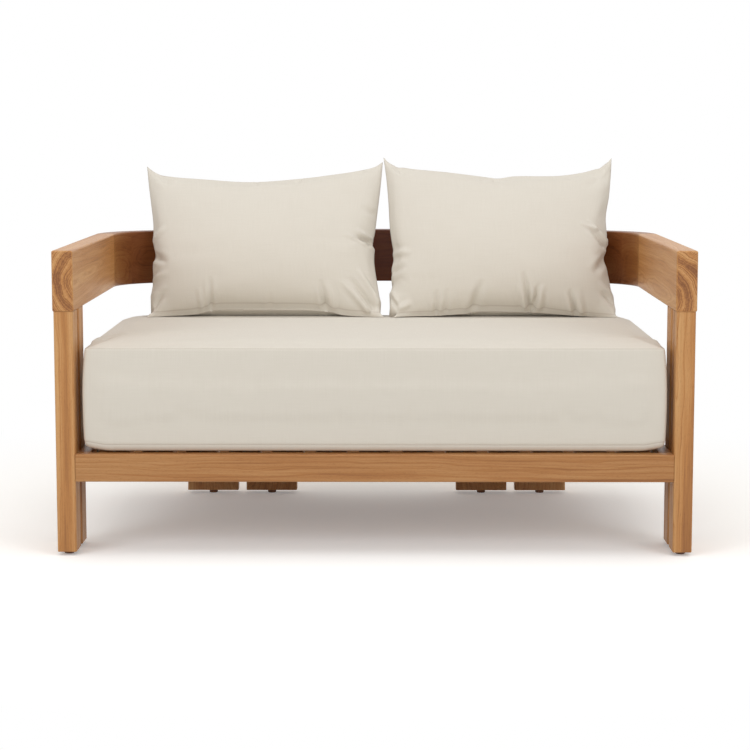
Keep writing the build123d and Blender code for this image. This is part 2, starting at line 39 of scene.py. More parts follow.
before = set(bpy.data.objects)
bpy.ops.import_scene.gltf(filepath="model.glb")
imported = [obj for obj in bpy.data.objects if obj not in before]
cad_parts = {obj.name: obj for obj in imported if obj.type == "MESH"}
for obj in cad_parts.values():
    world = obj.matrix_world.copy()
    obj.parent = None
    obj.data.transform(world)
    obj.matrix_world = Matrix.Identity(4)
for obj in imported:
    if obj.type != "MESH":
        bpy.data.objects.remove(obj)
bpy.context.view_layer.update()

from math import copysign, cos, exp, pi, radians, sin, sqrt

import bmesh
import bpy
from mathutils import Matrix, Vector, noise

MM = 0.001


# Colours and the one node helper


def linear(hex_colour):
    """An sRGB hex colour as linear red, green, blue and alpha."""
    channels = [int(hex_colour[n : n + 2], 16) / 255 for n in (0, 2, 4)]
    return [c / 12.92 if c <= 0.04045 else ((c + 0.055) / 1.055) ** 2.4 for c in channels] + [1.0]


def add(tree, kind, inputs=None, stops=None, **settings):
    """Add a node. Inputs holds numbers or the sockets that feed it, and stops a ramp's places and colours."""
    node = tree.nodes.new(kind)
    for key, value in settings.items():
        setattr(node, key, value)
    for key, value in (inputs or {}).items():
        if isinstance(value, bpy.types.NodeSocket):
            tree.links.new(value, node.inputs[key])
        else:
            node.inputs[key].default_value = value
    if stops:
        ramp = node.color_ramp.elements
        while len(ramp) < len(stops):
            ramp.new(0.5)
        for element, (place, colour) in zip(ramp, stops):
            element.position = place
            element.color = colour
    return node


def new_material(name):
    """A material with an empty node tree."""
    material = bpy.data.materials.new(name)
    material.use_nodes = True
    material.node_tree.nodes.clear()
    return material, material.node_tree


def dress(node_name, material):
    """Give a CAD node's object a finish through its own slots, and leave its mesh alone."""
    for material_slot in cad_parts[node_name].material_slots:
        material_slot.link = "OBJECT"
        material_slot.material = material


# Sizes and colours that a user would change


def length_setting(name, description, millimetres):
    """A length that a user may change."""
    return bpy.props.FloatProperty(
        name=name, description=description, unit="LENGTH", default=millimetres * MM,
    )


def colour_setting(name, description, hex_colour):
    """A colour that a user may change."""
    return bpy.props.FloatVectorProperty(
        name=name, description=description, subtype="COLOR", size=4, min=0, max=1, default=linear(hex_colour),
    )


def number_setting(name, description, number, subtype="NONE"):
    """A plain number, share or angle that a user may change."""
    return bpy.props.FloatProperty(name=name, description=description, subtype=subtype, default=number)


class LoveseatTeak(bpy.types.PropertyGroup):
    light: colour_setting("Light wood", "Palest early wood between the rings", "D0A069")
    middle: colour_setting("Middle wood", "Golden brown of the oiled heartwood", "B98048")
    dark: colour_setting("Dark wood", "Ring lines and mineral streaks", "82502A")
    # Painted shade, partly darker wood too: this colour darkens the back rail and the corners' boards, where
    # shade falls among the pillows and the arms
    shade: colour_setting("Shade", "What darkens the boards of the back and the corners", "8C5A24")
    ring: length_setting("Ring width", "Mean width of a growth ring", 5.5)


class LoveseatCanvas(bpy.types.PropertyGroup):
    yarn: colour_setting("Yarn", "Undyed natural colour of the canvas", "E0DBD1")
    gap: colour_setting("Between yarns", "Shadow tone between the yarns", "CBC4B7")
    # Painted shade: a seam's darker line stands for the shade in its groove
    seam_shade: colour_setting("Seam line", "Tone of a seam, which catches less light", "A89A8B")
    pitch: length_setting("Yarn pitch", "Distance between yarns, coarser than the real 0.6 mm to show", 1.8)


class LoveseatBench(bpy.types.PropertyGroup):
    cell: length_setting("Cell", "Grid size of the cover", 13)
    seam_step: length_setting("Seam step", "Grid size beside a seam", 3)
    seam_depth: length_setting("Seam depth", "How far the seams sink into the foam", 1.6)
    seam_wander: length_setting("Seam wander", "How far a seam strays up and down", 0.5)
    pressure: number_setting("Pressure", "Pressure of the foam on its cover", 3.0)
    frames: bpy.props.IntProperty(name="Frames", description="Steps of the cloth solver", default=14)
    stiffness: number_setting("Stiffness", "How much the cover resists being stretched", 25)
    bending: number_setting("Bending", "How much the cover resists being bent", 2.0)
    slack: number_setting("Slack", "Size of the cut cloth against the shape it covers", 1.0)
    swell_cap: length_setting("Swell cap", "How far the pressure may move the cover", 2.5)
    crown: length_setting("Crown", "Rise of the top panel over its seam", 12)
    crown_run: length_setting("Crown run", "How far in from its seam the top panel still rises", 170)
    draw: length_setting("Draw", "How far the upper seam pulls in the sides", 6)
    foot_draw: length_setting("Foot draw", "How far the lower seam pulls in the sides", 2)
    front_radius: length_setting("Front corners", "Radius of the front corners in plan", 12)
    rear_radius: length_setting("Rear corners", "Radius of the rear corners in plan", 118)
    foot_seam: length_setting("Foot seam", "Height of the lower seam over the foot", 13)
    foot_inset: length_setting("Foot inset", "How far in the foot lies from the side", 7)
    foot_curl: length_setting("Foot curl", "Rise of the foot along its edge", 6)
    curl_run: length_setting("Curl run", "Width of the curled edge", 34)
    corner_curl: length_setting("Corner curl", "Further rise of the foot at its corners", 7)
    corner_run: length_setting("Corner run", "Reach of the curl at a corner", 46)
    ripple: length_setting("Ripple", "Unevenness of the panels", 0.4)
    dent: length_setting("Dent", "How far the pillows sink into the top panel", 6)
    dent_run: length_setting("Dent run", "How far before a pillow the top panel starts to sink", 120)
    dent_side: length_setting("Dent side", "How far beside a pillow the top panel sinks", 30)


class LoveseatPillow(bpy.types.PropertyGroup):
    cell: length_setting("Cell", "Grid size of the cover", 6)
    thick: length_setting("Thickness", "Thickness of the filled pillow at its middle", 140)
    seam_lip: length_setting("Seam lip", "Half the thickness of the seam beside its edge", 1.6)
    seam_hold: length_setting("Seam hold", "Half thickness at which the cloth is free of its seam", 16)
    pressure: number_setting("Pressure", "Pressure of the filling on its cover", 1.5)
    frames: bpy.props.IntProperty(name="Frames", description="Steps of the cloth solver", default=12)
    stiffness: number_setting("Stiffness", "How much the cover resists being stretched", 20)
    bending: number_setting("Bending", "How much the cover resists being bent", 0.2)
    slack: number_setting("Slack", "Size of the cut cloth against the shape it covers", 1.02)
    swell_cap: length_setting("Swell cap", "How far the pressure may move the cover", 8)
    lump: length_setting("Lump", "Unevenness of the filling", 1.2)
    ripple: length_setting("Ripple", "Unevenness of the cloth", 0.35)
    sag_start: length_setting("Sag start", "Height over the hem at which the filling hangs lowest", 16)
    sag_run: length_setting("Sag run", "Height over the hem at which the filling no longer sags", 110)
    ear_reach: length_setting("Ear reach", "Size of the lower corners that lie forward on the bench", 70)
    ear_forward: length_setting("Ear forward", "How far forward the lower corners lie", 26)
    foot_behind: length_setting("Foot place", "How far behind its front the pillow's foot stands", 9)
    rest_gap: length_setting("Rest gap", "Room between the pillow and the bench", 1)
    hem: number_setting("Hem", "Share of the height that the flat hem takes", 0.022, "FACTOR")
    belly: number_setting("Belly", "How much fuller the filling is low down", 0.26, "FACTOR")
    crease: number_setting("Crease", "How deep the creases are against the list", 2.5, "FACTOR")
    lean: number_setting("Lean", "How far the pillow leans back", radians(22), "ANGLE")


# Wood


def teak_figure():
    """Node group that draws solid teak, with the grain along Z and the pith at the origin."""
    teak = bpy.context.scene.loveseat_teak
    tree = bpy.data.node_groups.new("teak_figure", "ShaderNodeTree")
    for way, sockets in (
        ("INPUT", (("Vector", "Vector"), ("Shade", "Float"), ("End grain", "Float"))),
        ("OUTPUT", (("Color", "Color"), ("Roughness", "Float"), ("Height", "Float"))),
    ):
        for name, kind in sockets:
            tree.interface.new_socket(name, in_out=way, socket_type=f"NodeSocket{kind}")
    given = add(tree, "NodeGroupInput")
    place = given.outputs["Vector"]

    def grain_noise(across, along, detail=2.0, offset=0.0):
        """Noise that is drawn out along the grain; both sizes are in millimetres."""
        per_metre = (1 / (across * MM), 1 / (across * MM), 1 / (along * MM))
        drawn = add(tree, "ShaderNodeVectorMath", {0: place, 1: per_metre}, operation="MULTIPLY")
        moved = add(tree, "ShaderNodeVectorMath", {0: drawn.outputs[0], 1: (offset, offset, offset)},
                    operation="ADD")
        return add(tree, "ShaderNodeTexNoise", {"Vector": moved.outputs[0], "Scale": 1.0, "Detail": detail})

    # The stem grew with slow bends and a finer ripple, so the rings sway
    bent = place
    for across, along, offset, sway in ((170, 900, 0.0, 75 * MM), (28, 150, 7.3, 11 * MM)):
        wander = grain_noise(across, along, offset=offset)
        centred = add(tree, "ShaderNodeVectorMath", {0: wander.outputs["Color"], 1: (0.5, 0.5, 0.5)},
                      operation="SUBTRACT")
        shift = add(tree, "ShaderNodeVectorMath", {0: centred.outputs[0], 1: (sway, sway, 0.0)},
                    operation="MULTIPLY")
        bent = add(tree, "ShaderNodeVectorMath", {0: bent, 1: shift.outputs[0]}, operation="ADD").outputs[0]
    flat = add(tree, "ShaderNodeVectorMath", {0: bent, 1: (1.0, 1.0, 0.0)}, operation="MULTIPLY")
    from_pith = add(tree, "ShaderNodeVectorMath", {0: flat.outputs[0]}, operation="LENGTH")
    years = add(tree, "ShaderNodeMath", {0: from_pith.outputs["Value"], 1: teak.ring},
                operation="DIVIDE").outputs[0]
    # Good and bad years make the rings uneven in width and in strength
    season = add(tree, "ShaderNodeTexNoise", {"W": years, "Scale": 0.55, "Detail": 1.0},
                 noise_dimensions="1D")
    uneven = add(tree, "ShaderNodeMath", {0: season.outputs["Fac"], 1: 2.4, 2: years},
                 operation="MULTIPLY_ADD")
    in_year = add(tree, "ShaderNodeMath", {0: uneven.outputs[0]}, operation="FRACT")
    strength = add(tree, "ShaderNodeTexNoise", {"W": years, "Scale": 0.3, "Detail": 0.0},
                   noise_dimensions="1D")
    # Ring-porous wood: a dark porous line starts each ring, which then pales slowly
    greys = ((0.0, 0.0), (0.14, 0.55), (0.4, 0.85), (0.8, 1.0), (1.0, 0.35))
    ring_line = add(tree, "ShaderNodeValToRGB", {"Fac": in_year.outputs[0]},
                    stops=[(spot, [grey, grey, grey, 1.0]) for spot, grey in greys])
    ring_part = add(tree, "ShaderNodeMath", {0: ring_line.outputs["Color"], 1: strength.outputs["Fac"]},
                    operation="MULTIPLY")

    streak = grain_noise(5, 260, 3.0, 2.1)
    fibre = grain_noise(1.1, 34, 3.0, 4.7)
    broad = grain_noise(60, 620, 2.0, 9.1)
    pores = grain_noise(0.8, 9, 1.0, 5.9)
    pored = add(tree, "ShaderNodeMapRange", {"Value": pores.outputs["Fac"], "From Min": 0.6,
                                             "From Max": 0.72}).outputs["Result"]

    # Rings show more on the sawn ends, which also soak up more oil and so are darker
    at_end = given.outputs["End grain"]
    contrast = add(tree, "ShaderNodeMath", {0: at_end, 1: 0.7, 2: 0.5}, operation="MULTIPLY_ADD")
    tone = add(tree, "ShaderNodeMath", {0: at_end, 1: -0.44, 2: -0.35}, operation="MULTIPLY_ADD")
    for pattern, weight in (
        (ring_part.outputs[0], contrast.outputs[0]), (streak.outputs["Fac"], 0.62),
        (fibre.outputs["Fac"], 0.26), (broad.outputs["Fac"], 0.55),
    ):
        tone = add(tree, "ShaderNodeMath", {0: pattern, 1: weight, 2: tone.outputs[0]},
                   operation="MULTIPLY_ADD")
    plain = add(tree, "ShaderNodeValToRGB", {"Fac": tone.outputs[0]},
                stops=[(0.08, list(teak.dark)), (0.46, list(teak.middle)), (0.88, list(teak.light))])
    flecked = add(tree, "ShaderNodeMix", {"Factor": pored, 6: plain.outputs["Color"], 7: list(teak.dark)},
                  data_type="RGBA")
    faint = add(tree, "ShaderNodeMix", {"Factor": 0.35, 6: plain.outputs["Color"], 7: flecked.outputs[2]},
                data_type="RGBA")
    # Painted shade, with some darker wood: the Shade input blends in a darker colour for the boards that lie
    # in shade at the back and in the corners
    dark_wood_and_shade = add(tree, "ShaderNodeMix", {"Factor": 1.0, 6: faint.outputs[2], 7: list(teak.shade)},
                data_type="RGBA", blend_type="MULTIPLY")
    shaded = add(tree, "ShaderNodeMix", {"Factor": given.outputs["Shade"], 6: faint.outputs[2],
                                         7: dark_wood_and_shade.outputs[2]}, data_type="RGBA")
    gloss = add(tree, "ShaderNodeMath", {0: fibre.outputs["Fac"], 1: 0.2, 2: 0.3}, operation="MULTIPLY_ADD")
    dull = add(tree, "ShaderNodeMath", {0: pored, 1: 0.12, 2: gloss.outputs[0]}, operation="MULTIPLY_ADD")
    relief = add(tree, "ShaderNodeMath", {0: pored, 1: -0.6, 2: fibre.outputs["Fac"]},
                 operation="MULTIPLY_ADD")
    add(tree, "NodeGroupOutput", {"Color": shaded.outputs[2], "Roughness": dull.outputs[0],
                                  "Height": relief.outputs[0]})


def teak_board(name, centre, grain, pith, seed, shade=0.0, fade=None):
    """Oiled teak for one board: sanded and oiled, so it shows its rings, fine pores and a low sheen.

    The pith lies at an offset from the board's centre, in metres, and sets how the rings cross its faces.
    Fade gives the Y between which the painted shade grows towards the back, as shade deepens into a corner,
    and its least and most.
    """
    material, tree = new_material(f"oiled_teak_{name}")
    along = Vector(grain).normalized()
    across = along.orthogonal().normalized()
    turn = Matrix((across, along.cross(across), along))
    start = -(turn @ (Vector(centre) + Vector(pith))) + Vector((0, 0, seed))
    coordinates = add(tree, "ShaderNodeTexCoord")
    board_space = add(tree, "ShaderNodeMapping", {"Vector": coordinates.outputs["Object"], "Location": start,
                                                  "Rotation": turn.to_euler()})
    facing = add(tree, "ShaderNodeVectorMath", {0: coordinates.outputs["Normal"], 1: along},
                 operation="DOT_PRODUCT")
    square = add(tree, "ShaderNodeMath", {0: facing.outputs["Value"]}, operation="ABSOLUTE")
    at_end = add(tree, "ShaderNodeMapRange", {"Value": square.outputs[0], "From Min": 0.8, "From Max": 0.95})
    # Painted shade that grows along Y, darker towards the back of the corner
    if fade:
        low, high, least, most = fade
        apart = add(tree, "ShaderNodeSeparateXYZ", {"Vector": coordinates.outputs["Object"]})
        shade = add(tree, "ShaderNodeMapRange",
                    {"Value": apart.outputs["Y"], "From Min": low, "From Max": high, "To Min": least,
                     "To Max": most}, interpolation_type="SMOOTHSTEP").outputs["Result"]
    figure = add(tree, "ShaderNodeGroup", node_tree=bpy.data.node_groups["teak_figure"])
    for socket, value in (("Vector", board_space.outputs["Vector"]), ("End grain", at_end.outputs["Result"])):
        tree.links.new(value, figure.inputs[socket])
    if fade:
        tree.links.new(shade, figure.inputs["Shade"])
    else:
        figure.inputs["Shade"].default_value = shade
    bump = add(tree, "ShaderNodeBump", {"Height": figure.outputs["Height"], "Strength": 0.35,
                                        "Distance": 0.4 * MM})
    surface = add(tree, "ShaderNodeBsdfPrincipled", {"Base Color": figure.outputs["Color"], "IOR": 1.46,
                                                     "Roughness": figure.outputs["Roughness"],
                                                     "Normal": bump.outputs["Normal"]})
    add(tree, "ShaderNodeOutputMaterial", {"Surface": surface.outputs["BSDF"]})
    return material


class LOVESEAT_OT_teak(bpy.types.Operator):
    """Give every teak board its own grain, cut from its own place in the stem"""

    bl_idname = "loveseat.teak"
    bl_label = "Finish the teak boards"

    def execute(self, context):
        teak_figure()
        right, back, up = (1, 0, 0), (0, 1, 0), (0, 0, 1)
        # For each board: its grain, its pith's offset in millimetres, its painted shade, partly darker wood,
        # and its fade. The arms' piths lie just inside them, so their inner faces show ovals and their ends
        # show arcs
        cuts = {
            "arm_left": (back, (60, 0, 6), 0.0, None),
            "arm_right": (back, (-52, 0, -44), 0.0, None),
            "seat_rail_front": (right, (0, 60, -150), 0.25, None),
            "seat_rail_left": (back, (90, 0, 60), 0.1, None),
            "seat_rail_right": (back, (-90, 0, 60), 0.1, None),
            "seat_rail_rear": (right, (0, -70, 110), 0.1, None),
            "seat_stretcher": (right, (0, 80, 60), 0.1, None),
            "slat_cleat_front": (right, (0, 50, 50), 0.1, None),
            "slat_cleat_rear": (right, (0, -50, 50), 0.1, None),
            "seat_block_left": (right, (0, 50, 90), 0.1, None),
            "seat_block_right": (right, (0, -50, 90), 0.1, None),
            "back_rail": (right, (0, 90, 40), 1.0, None),
        }
        slats = 13
        fade_start = 50 * MM
        for hand, side in (("left", -1), ("right", 1)):
            for rank, reach in (("fore", 150), ("aft", -170)):
                cuts[f"front_leg_{hand}_{rank}"] = (up, (side * reach, 190, 0), 0.0, None)
            for rank, reach in (("inner", 120), ("outer", -140)):
                cuts[f"rear_leg_{hand}_{rank}"] = (up, (side * reach, 90, 0), 0.0, None)
            corner_low, corner_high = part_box(f"corner_{hand}_front")
            # Painted shade in each front corner block, from 0.2 at its front to 0.85 at its back, where the
            # corner lies in shade
            darkens = (corner_low.y - fade_start, corner_high.y, 0.2, 0.85)
            for rank, turned in (("front", 19), ("rear", 58)):
                grain = (-side * sin(radians(turned)), cos(radians(turned)), 0)
                fade = darkens if rank == "front" else None
                cuts[f"corner_{hand}_{rank}"] = (grain, (side * 30, 120, -20), 0.85, fade)
        for n in range(1, slats + 1):
            cuts[f"slat_{n:02d}"] = (back, (30 * (-1) ** n, 0, -60 - 9 * n), 0.1, None)
        for n, (name, (grain, pith, shade, fade)) in enumerate(cuts.items()):
            low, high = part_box(name)
            offset = Vector(pith) * MM
            further_up = 1.37 * n
            dress(name, teak_board(name, (low + high) / 2, grain, offset, further_up, shade, fade))
        return {"FINISHED"}


# Metal, nylon and the hidden joinery


class LOVESEAT_OT_hardware(bpy.types.Operator):
    """Finish the screws, bolts, inserts, glides, dowels and loose tenons"""

    bl_idname = "loveseat.hardware"
    bl_label = "Finish the fasteners and glides"

    def execute(self, context):
        # Stainless steel, machined: grey metal with fine turning marks
        steel, tree = new_material("machined_stainless_steel")
        coordinates = add(tree, "ShaderNodeTexCoord")
        marks = add(tree, "ShaderNodeTexNoise", {"Vector": coordinates.outputs["Object"],
                                                 "Scale": 1 / (0.8 * MM)})
        rough = add(tree, "ShaderNodeMapRange", {"Value": marks.outputs["Fac"], "To Min": 0.25,
                                                 "To Max": 0.4})
        surface = add(tree, "ShaderNodeBsdfPrincipled", {"Base Color": linear("B9B9B6"), "Metallic": 1.0,
                                                         "Roughness": rough.outputs["Result"]})
        add(tree, "ShaderNodeOutputMaterial", {"Surface": surface.outputs["BSDF"]})
        for name in ("rear_rail_screws", "cleat_screws", "block_screws", "slat_screws", "side_rail_bolts",
                     "side_rail_inserts"):
            dress(name, steel)

        # Nylon, moulded in brown: satin, with the faint orange peel of its mould
        nylon, tree = new_material("moulded_brown_nylon")
        coordinates = add(tree, "ShaderNodeTexCoord")
        peel = add(tree, "ShaderNodeTexNoise", {"Vector": coordinates.outputs["Object"],
                                                "Scale": 1 / (1.5 * MM)})
        tint = add(tree, "ShaderNodeMix", {"Factor": peel.outputs["Fac"], 6: linear("6E4223"),
                                           7: linear("7C4D2B")}, data_type="RGBA")
        bump = add(tree, "ShaderNodeBump", {"Height": peel.outputs["Fac"], "Strength": 0.2,
                                            "Distance": 0.1 * MM})
        surface = add(tree, "ShaderNodeBsdfPrincipled", {"Base Color": tint.outputs[2], "Roughness": 0.45,
                                                         "Normal": bump.outputs["Normal"]})
        add(tree, "ShaderNodeOutputMaterial", {"Surface": surface.outputs["BSDF"]})
        dress("leg_glides", nylon)

        # Beech, planed for dowels and loose tenons: pale, with short dark flecks
        beech, tree = new_material("planed_beech")
        coordinates = add(tree, "ShaderNodeTexCoord")
        flecks = add(tree, "ShaderNodeTexNoise", {"Vector": coordinates.outputs["Object"],
                                                  "Scale": 1 / (2 * MM)})
        tint = add(tree, "ShaderNodeValToRGB", {"Fac": flecks.outputs["Fac"]},
                   stops=[(0.35, linear("C39A6B")), (0.6, linear("DDB98D"))])
        surface = add(tree, "ShaderNodeBsdfPrincipled", {"Base Color": tint.outputs["Color"],
                                                         "Roughness": 0.6})
        add(tree, "ShaderNodeOutputMaterial", {"Surface": surface.outputs["BSDF"]})
        for name in ("band_tenons", "leg_dowels", "rail_dowels"):
            dress(name, beech)
        return {"FINISHED"}


# Cloth


def woven_canvas(name):
    """Solution-dyed canvas in plain weave: matt, faintly slubbed, with a soft bloom at grazing angles."""
    canvas = bpy.context.scene.loveseat_canvas
    material, tree = new_material(name)
    cloth = add(tree, "ShaderNodeUVMap", uv_map="cloth")
    turned = add(tree, "ShaderNodeVectorMath", {0: cloth.outputs["UV"], "Scale": pi / canvas.pitch},
                 operation="SCALE")
    apart = add(tree, "ShaderNodeSeparateXYZ", {"Vector": turned.outputs[0]})
    warp = add(tree, "ShaderNodeMath", {0: apart.outputs["X"]}, operation="SINE")
    weft = add(tree, "ShaderNodeMath", {0: apart.outputs["Y"]}, operation="SINE")
    crossing = add(tree, "ShaderNodeMath", {0: warp.outputs[0], 1: weft.outputs[0]}, operation="MULTIPLY")
    weave = add(tree, "ShaderNodeMath", {0: crossing.outputs[0], 1: 0.5, 2: 0.5}, operation="MULTIPLY_ADD")
    level = add(tree, "ShaderNodeMath", {0: weave.outputs[0], 1: 0.45, 2: 0.2}, operation="MULTIPLY_ADD")
    # Slubs: single yarns of either way that run a little thicker or paler for a hand's width
    slub_wide, slub_long = 1 / (1.5 * MM), 1 / (70 * MM)
    mottle = add(tree, "ShaderNodeTexNoise", {"Vector": cloth.outputs["UV"], "Scale": 1 / (45 * MM),
                                              "Detail": 2.0})
    parts = [(mottle, 0.1)]
    for stretch in ((slub_wide, slub_long, 1.0), (slub_long, slub_wide, 1.0)):
        drawn = add(tree, "ShaderNodeVectorMath", {0: cloth.outputs["UV"], 1: stretch}, operation="MULTIPLY")
        slubs = add(tree, "ShaderNodeTexNoise", {"Vector": drawn.outputs[0], "Scale": 1.0, "Detail": 1.0})
        parts.append((slubs, 0.26))
    for part, weight in parts:
        level = add(tree, "ShaderNodeMath", {0: part.outputs["Fac"], 1: weight, 2: level.outputs[0]},
                    operation="MULTIPLY_ADD")
    plain = add(tree, "ShaderNodeMix", {"Factor": level.outputs[0], 6: list(canvas.gap),
                                        7: list(canvas.yarn)}, data_type="RGBA")
    # Painted shade: felled seams catch less light than the panels, so a thin darker line is painted along
    # them
    seam = add(tree, "ShaderNodeAttribute", attribute_name="seam")
    line = add(tree, "ShaderNodeMapRange", {"Value": seam.outputs["Fac"], "From Min": 0.45, "To Max": 0.55})
    seam_shade = add(tree, "ShaderNodeMix", {"Factor": line.outputs["Result"], 6: plain.outputs[2],
                                       7: list(canvas.seam_shade)}, data_type="RGBA")
    bump = add(tree, "ShaderNodeBump", {"Height": weave.outputs[0], "Strength": 0.25,
                                        "Distance": 0.25 * MM})
    surface = add(tree, "ShaderNodeBsdfPrincipled", {
        "Base Color": seam_shade.outputs[2], "Roughness": 0.92, "Sheen Weight": 0.15, "Sheen Roughness": 0.5,
        "Specular IOR Level": 0.3, "Normal": bump.outputs["Normal"],
    })
    add(tree, "ShaderNodeOutputMaterial", {"Surface": surface.outputs["BSDF"]})
    return material


def new_piece(name, mesh, material):
    """An object at the origin, with its place in its mesh."""
    piece = bpy.data.objects.new(name, mesh)
    bpy.context.scene.collection.objects.link(piece)
    mesh.materials.append(material)
    return piece


def only(piece):
    """Select one piece and make it the active one."""
    bpy.ops.object.select_all(action="DESELECT")
    piece.select_set(True)
    bpy.context.view_layer.objects.active = piece


def apply_modifiers(piece):
    """Apply every modifier on a piece, in order."""
    only(piece)
    for modifier in list(piece.modifiers):
        bpy.ops.object.modifier_apply(modifier=modifier.name)


def swell(piece, made):
    """Blow a cover up with the cloth solver, with no gravity, and give where it takes each vertex.

    Made holds the piece's settings. Its slack cuts the cloth larger than the shape that it starts from, so
    the spare width puckers.
    """
    piece.shape_key_add(name="start")
    cut = piece.shape_key_add(name="cut")
    for point in cut.data:
        point.co = point.co * made.slack
    cut.value = 0
    cloth = piece.modifiers.new("swell", "CLOTH")
    settings = cloth.settings
    settings.rest_shape_key = cut
    settings.quality = 6
    settings.mass = 0.3
    settings.tension_stiffness = made.stiffness
    settings.compression_stiffness = made.stiffness
    settings.shear_stiffness = made.stiffness / 3
    settings.bending_stiffness = made.bending
    settings.use_pressure = True
    settings.uniform_pressure_force = made.pressure
    settings.effector_weights.gravity = 0
    cloth.collision_settings.use_collision = False
    cloth.point_cache.frame_start = 1
    cloth.point_cache.frame_end = made.frames
    scene = bpy.context.scene
    for step in range(1, made.frames + 1):
        scene.frame_set(step)
    taken = piece.evaluated_get(bpy.context.evaluated_depsgraph_get())
    places = [vert.co.copy() for vert in taken.data.vertices]
    piece.modifiers.clear()
    piece.shape_key_clear()
    scene.frame_set(1)
    return places


def mark_seam(mesh, strengths):
    """Mark vertices that lie on a seam, where the cloth's material paints a thin line of shade."""
    layer = mesh.attributes.new("seam", "FLOAT", "POINT")
    for index, strength in strengths.items():
        layer.data[index].value = strength


def smooth_shading(piece):
    """Shade every face smooth."""
    for polygon in piece.data.polygons:
        polygon.use_smooth = True


def subdivide_once(piece):
    """One subdivision, applied."""
    finer = piece.modifiers.new("finer", "SUBSURF")
    finer.levels = finer.render_levels = 1
    apply_modifiers(piece)


def press_crease(flat, moves, start, end, half_width, depth):
    """Add a soft valley with raised shoulders to the moves of flat points, deepest at its start.

    A depth below zero raises a fold instead.
    """
    run = end - start
    reach, shoulder, shoulder_place = 3 * half_width, 0.4, 1.7
    low = (min(start.x, end.x) - reach, min(start.y, end.y) - reach)
    high = (max(start.x, end.x) + reach, max(start.y, end.y) + reach)
    for index, point in flat:
        if not (low[0] < point.x < high[0] and low[1] < point.y < high[1]):
            continue
        along = min(1.0, max(0.0, (point - start).dot(run) / run.length_squared))
        away = (point - start - run * along).length / half_width
        valley = exp(-away * away) - shoulder * exp(-((away - shoulder_place) ** 2))
        moves[index] -= depth * valley * (1 - along * along)


def even_lines(low, high, cell, margins):
    """Grid lines from low to high, about a cell apart, with extra ones close to both ends."""
    inner_low, inner_high = low + margins[-1], high - margins[-1]
    count = max(1, round((inner_high - inner_low) / cell))
    middle = [inner_low + (inner_high - inner_low) * n / count for n in range(count + 1)]
    before = [low] + [low + margin for margin in margins[:-1]]
    after = [high - margin for margin in reversed(margins[:-1])] + [high]
    return before + middle + after


def bench_grid(low, high, seam_top, bench):
    """A grid over the cushion's box, closer at its seams, and the vertices of its two seams."""
    margins = (bench.seam_step, 3 * bench.seam_step)
    xs = even_lines(low.x, high.x, bench.cell, margins)
    ys = even_lines(low.y, high.y, bench.cell, margins)
    foot_seam = low.z + bench.foot_seam
    zs = [low.z, foot_seam - bench.seam_step] + even_lines(foot_seam, seam_top, bench.cell, margins)
    last = (len(xs) - 1, len(ys) - 1, len(zs) - 1)
    bm = bmesh.new()
    found = {}

    def corner(key):
        if key not in found:
            found[key] = bm.verts.new((xs[key[0]], ys[key[1]], zs[key[2]]))
        return found[key]

    for axis in range(3):
        first, second = [a for a in range(3) if a != axis]
        for end in (0, last[axis]):
            for a in range(last[first]):
                for b in range(last[second]):
                    ring = []
                    for da, db in ((0, 0), (1, 0), (1, 1), (0, 1)):
                        key = [0, 0, 0]
                        key[axis], key[first], key[second] = end, a + da, b + db
                        ring.append(corner(tuple(key)))
                    bm.faces.new(ring)
    bmesh.ops.recalc_face_normals(bm, faces=bm.faces)
    bm.verts.index_update()
    seams = [vert.index for key, vert in found.items()
             if key[2] in (2, last[2]) and (key[0] in (0, last[0]) or key[1] in (0, last[1]))]
    return bm, seams


def bench_form(point, low, high, seam_top, bench):
    """Where a point of the box's grid goes: barrel sides, corners round in plan, a crown, a curled foot."""
    middle = (low + high) / 2
    half = (high - low) / 2
    x, y = point.x - middle.x, point.y - middle.y
    inset = min(half.x - abs(x), half.y - abs(y))
    foot_seam = low.z + bench.foot_seam
    rise = min(1.0, max(0.0, (point.z - foot_seam) / (seam_top - foot_seam)))
    drawn = (bench.draw if rise > 0.5 else bench.foot_draw) * (2 * rise - 1) ** 2
    if point.z < foot_seam:
        under = (foot_seam - point.z) / bench.foot_seam
        drawn += (bench.foot_inset - bench.foot_draw) * (1 - sqrt(1 - under * under))
    radius = bench.rear_radius if y > 0 else bench.front_radius
    beyond_x, beyond_y = abs(x) - (half.x - radius), abs(y) - (half.y - radius)
    if beyond_x > 0 and beyond_y > 0:
        away = max(beyond_x, beyond_y) / sqrt(beyond_x * beyond_x + beyond_y * beyond_y)
        x = copysign(half.x - radius + beyond_x * away, x)
        y = copysign(half.y - radius + beyond_y * away, y)
    z = point.z
    crown_fall, edge_fade, corner_fade, corner_fullness = 3.2, 6, 5, 1.4
    if z > seam_top - bench.seam_step / 2:
        share = min(1.0, inset / bench.crown_run)
        z = seam_top + bench.crown * (1 - (1 - share) ** crown_fall)
    # The foot curls up at its edge, and more at its corners
    near = max(0.0, 1 - inset / bench.curl_run) ** 2
    z += bench.foot_curl * near * (1 - rise) ** edge_fade
    near_x = max(0.0, 1 - (half.x - abs(point.x - middle.x)) / bench.corner_run)
    near_y = max(0.0, 1 - (half.y - abs(point.y - middle.y)) / bench.corner_run)
    z += bench.corner_curl * min(1.0, corner_fullness * near_x * near_y) * (1 - rise) ** corner_fade
    return Vector((middle.x + x * (1 - drawn / half.x), middle.y + y * (1 - drawn / half.y), z))


